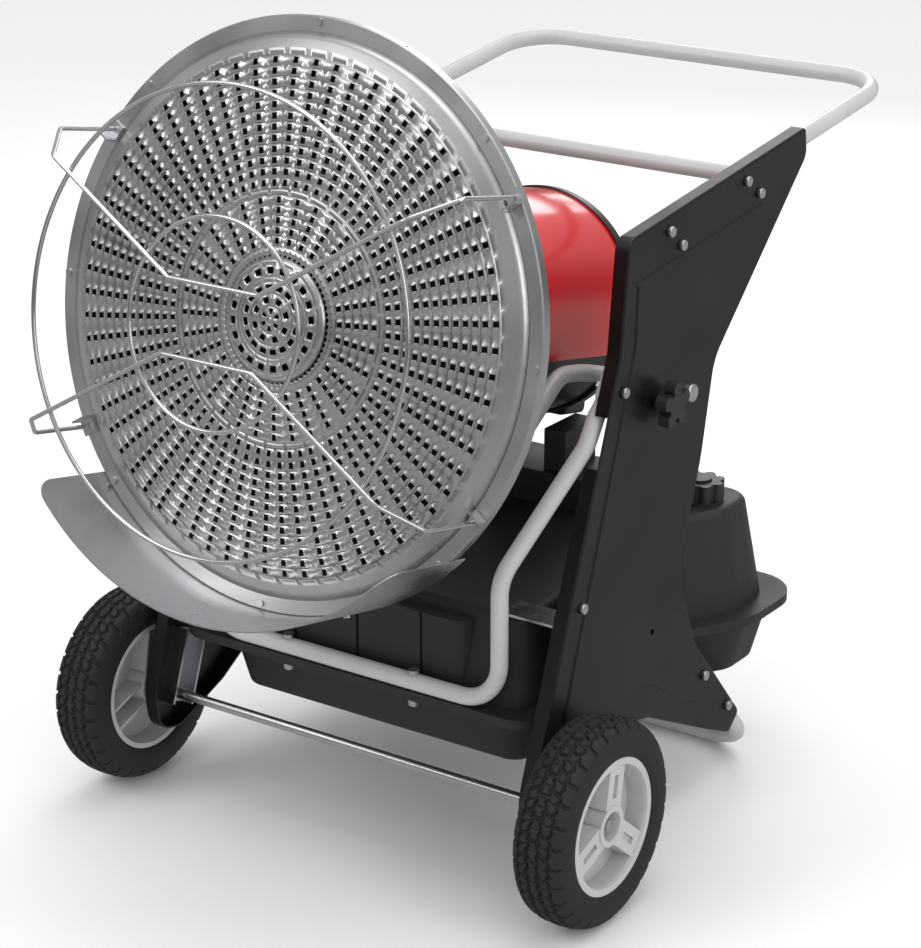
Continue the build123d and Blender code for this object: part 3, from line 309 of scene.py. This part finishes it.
class Sheet:
    """Collects the faces of a punched sheet in the dish's own frame."""

    def __init__(self, line):
        self.line = line
        self.verts = []
        self.faces = []

    def point(self, radius, angle, lift=0.0):
        """Adds one corner and gives its number."""
        depth = rise(self.line, radius) + lift
        self.verts.append((radius * math.cos(angle), depth, radius * math.sin(angle)))
        return len(self.verts) - 1

    def ring(self, r0, r1, columns, slot=None, start=0.0, steps=4):
        """One ring of cells; slot is (share of the pitch, share of the depth, louvre height)."""
        pitch = 2 * math.pi / columns
        for k in range(columns):
            a0, a1 = start + k * pitch, start + (k + 1) * pitch
            mid = (a0 + a1) / 2
            if slot is None:
                for j in range(steps):
                    b0 = a0 + (a1 - a0) * j / steps
                    b1 = a0 + (a1 - a0) * (j + 1) / steps
                    self.faces.append([self.point(r0, b0), self.point(r0, b1),
                                       self.point(r1, b1), self.point(r1, b0)])
                continue
            wide, deep, lip = slot
            h = pitch * wide / 2
            rm, hr = (r0 + r1) / 2, (r1 - r0) * deep / 2
            outer = [self.point(r0, a0), self.point(r0, mid - h), self.point(r0, mid + h), self.point(r0, a1),
                     self.point(rm, a1), self.point(r1, a1), self.point(r1, mid + h), self.point(r1, mid - h),
                     self.point(r1, a0), self.point(rm, a0)]
            w = [self.point(rm - hr, mid - h), self.point(rm - hr, mid + h), self.point(rm + hr, mid + h),
                 self.point(rm + hr, mid - h)]
            self.faces += [[outer[0], outer[1], w[0], outer[9]], [outer[1], outer[2], w[1], w[0]],
                           [outer[2], outer[3], outer[4], w[1]], [w[1], outer[4], w[2]],
                           [outer[4], outer[5], outer[6], w[2]], [w[2], outer[6], outer[7], w[3]],
                           [outer[7], outer[8], outer[9], w[3]], [w[3], outer[9], w[0]]]
            if lip:
                for end, sign in ((w[0], -1), (w[1], 1)):
                    angle = mid + sign * h
                    far = w[3] if end == w[0] else w[2]
                    t0 = self.point(rm - hr, angle - sign * h * LIP_LEAN, -lip)
                    t1 = self.point(rm + hr, angle - sign * h * LIP_LEAN, -lip)
                    self.faces.append([end, far, t1, t0])

    def finish(self, name, replaced):
        """Welds the cells, gives the sheet its thickness and puts it on the head."""
        verts = [DISH @ Vector(v) for v in self.verts]
        obj = new_mesh(name, verts, self.faces, "dish_steel", "head", replaced, 40)
        shell = bmesh.new()
        shell.from_mesh(obj.data)
        bmesh.ops.remove_doubles(shell, verts=shell.verts, dist=WELD)
        bmesh.ops.recalc_face_normals(shell, faces=shell.faces)
        shell.to_mesh(obj.data)
        shell.free()
        thick = obj.modifiers.new("thickness", "SOLIDIFY")
        thick.thickness = SHEET_THICK
        thick.offset = -1
        return obj


def disc():
    """Radiant disc: rim rings, twelve rows of slots, a plain band and the inner rows."""
    sheet = Sheet(DISC_LINE)
    columns = 64
    radii = list(np.linspace(0.1385, 0.279, 13))
    sheet.ring(0.279, 0.2865, columns)
    sheet.ring(0.2865, 0.295, columns)
    sheet.ring(0.295, 0.3035, columns)
    for k, (r0, r1) in enumerate(zip(radii[:-1], radii[1:])):
        width = 0.0104 / (2 * math.pi * (r0 + r1) / 2 / columns)
        sheet.ring(r0, r1, columns, (min(width, 0.66), 0.58, 0.0022))
    sheet.ring(0.132, 0.1385, columns)
    inner = list(np.linspace(0.078, 0.132, 6))
    for r0, r1 in zip(inner[:-1], inner[1:]):
        pitch = 2 * math.pi * (r0 + r1) / 2 / 32
        sheet.ring(r0, r1, 32, (min(0.0092 / pitch, 0.62), 0.62, 0.002))
    sheet.ring(0.072, 0.078, 64)
    sheet.ring(0.060, 0.072, 64, (0.5, 0.5, 0.0))
    return sheet.finish("dish_sheet", ("radiant_disc",))


def cap():
    """Centre cap with its own rows of slots."""
    sheet = Sheet(CAP_LINE)
    rings = [(0.0, 0.004, None, 12), (0.004, 0.015, (0.42, 0.55, 0), 6), (0.015, 0.028, (0.42, 0.5, 0), 8),
             (0.028, 0.041, (0.62, 0.45, 0), 16), (0.041, 0.046, None, 24),
             (0.046, 0.059, (0.5, 0.55, 0), 20),
             (0.059, 0.067, None, 48)]
    for r0, r1, slot, columns in rings:
        sheet.ring(max(r0, 1e-5), r1, columns, slot, steps=max(1, 96 // columns) if slot is None else 4)
    return sheet.finish("dish_cap_sheet", ("centre_cap",))


disc()
cap()

# Ground, backdrop and light
plane = bpy.data.meshes.new("ground")
FLOOR = 12.0
plane.from_pydata([(-FLOOR, -FLOOR, 0), (FLOOR, -FLOOR, 0), (FLOOR, FLOOR, 0), (-FLOOR, FLOOR, 0)], [],
                  [(0, 1, 2, 3)])
ground = bpy.data.objects.new("ground", plane)
bpy.context.scene.collection.objects.link(ground)
white = bpy.data.materials.new("ground_white")
white.use_nodes = True
white.node_tree.nodes["Principled BSDF"].inputs["Base Color"].default_value = (0.92, 0.92, 0.92, 1)
white.node_tree.nodes["Principled BSDF"].inputs["Roughness"].default_value = 0.7
ground.data.materials.append(white)


def lamp(name, place, target, size, power, size_y=None):
    """One area lamp aimed at a point."""
    data = bpy.data.lights.new(name, "AREA")
    data.energy = power
    data.size = size
    if size_y:
        data.shape = "RECTANGLE"
        data.size_y = size_y
    obj = bpy.data.objects.new(name, data)
    obj.location = place
    obj.rotation_euler = (Vector(target) - Vector(place)).to_track_quat("-Z", "Y").to_euler()
    bpy.context.scene.collection.objects.link(obj)


lamp("key", (-1.6, -2.6, 2.9), (0, 0, 0.5), 1.6, 26)
lamp("side", (3.0, -0.6, 1.9), (0, 0, 0.5), 0.9, 14, 2.2)
lamp("top", (0.2, 0.4, 3.4), (0, 0, 0.4), 2.2, 22)
lamp("back", (-1.2, 3.0, 1.8), (0, 0, 0.6), 1.4, 16)
world = bpy.data.worlds.new("white")
world.use_nodes = True
tree = world.node_tree
background = tree.nodes["Background"]
path = tree.nodes.new("ShaderNodeLightPath")
coords = tree.nodes.new("ShaderNodeTexCoord")
split = tree.nodes.new("ShaderNodeSeparateXYZ")
tree.links.new(coords.outputs["Generated"], split.inputs["Vector"])
room = tree.nodes.new("ShaderNodeValToRGB")
room.color_ramp.elements[0].position = 0.0
room.color_ramp.elements[0].color = (0.30, 0.30, 0.30, 1)
room.color_ramp.elements[1].position = 1.0
room.color_ramp.elements[1].color = (0.85, 0.85, 0.85, 1)
for place, grey in ((0.42, 0.42), (0.50, 0.10), (0.56, 0.16), (0.66, 0.55), (0.80, 0.28)):
    stop = room.color_ramp.elements.new(place)
    stop.color = (grey, grey, grey, 1)
height = tree.nodes.new("ShaderNodeMapRange")
height.inputs["From Min"].default_value = -1.0
height.inputs["From Max"].default_value = 1.0
tree.links.new(split.outputs["Z"], height.inputs["Value"])
tree.links.new(height.outputs["Result"], room.inputs["Fac"])
plain = tree.nodes.new("ShaderNodeMix")
plain.data_type = "RGBA"
plain.inputs["A"].default_value = (0.95, 0.95, 0.95, 1)
tree.links.new(path.outputs["Is Glossy Ray"], plain.inputs["Factor"])
tree.links.new(room.outputs["Color"], plain.inputs["B"])
shown = tree.nodes.new("ShaderNodeMix")
shown.data_type = "RGBA"
shown.inputs["B"].default_value = (1, 1, 1, 1)
tree.links.new(path.outputs["Is Camera Ray"], shown.inputs["Factor"])
tree.links.new(plain.outputs["Result"], shown.inputs["A"])
tree.links.new(shown.outputs["Result"], background.inputs["Color"])
ground.visible_glossy = False
scene = bpy.context.scene
scene.world = world

# The camera, fitted to the photograph's frame lines
WIDE = 921
HIGH = 948
CAMERA_X = 1.7795
CAMERA_Y = -2.3345
CAMERA_Z = 1.5349
CAMERA_TURN = 34.553
CAMERA_RISE = 20.554
FOCAL_PX = 2792.6
SHIFT_X_PX = -12.83
SHIFT_Y_PX = 17.54
SENSOR = 36.0
eye = bpy.data.cameras.new("camera")
camera = bpy.data.objects.new("camera", eye)
scene.collection.objects.link(camera)
scene.camera = camera
camera.location = (CAMERA_X, CAMERA_Y + AXLE_Y, CAMERA_Z)
az = math.radians(CAMERA_TURN)
el = math.radians(CAMERA_RISE)
back = Vector((math.sin(az) * math.cos(el), -math.cos(az) * math.cos(el), math.sin(el)))
right = Vector((0, 0, 1)).cross(back).normalized()
camera.rotation_euler = Matrix((right, back.cross(right), back)).transposed().to_euler()
eye.sensor_width = SENSOR
eye.lens = FOCAL_PX / HIGH * SENSOR
eye.shift_x = SHIFT_X_PX / HIGH
eye.shift_y = SHIFT_Y_PX / HIGH
eye.clip_end = 60
scene.render.resolution_x = WIDE
scene.render.resolution_y = HIGH
scene.view_settings.view_transform = "Standard"
scene.view_settings.look = "None"
scene.render.engine = "CYCLES"
scene.cycles.samples = 96
scene.cycles.use_denoising = True
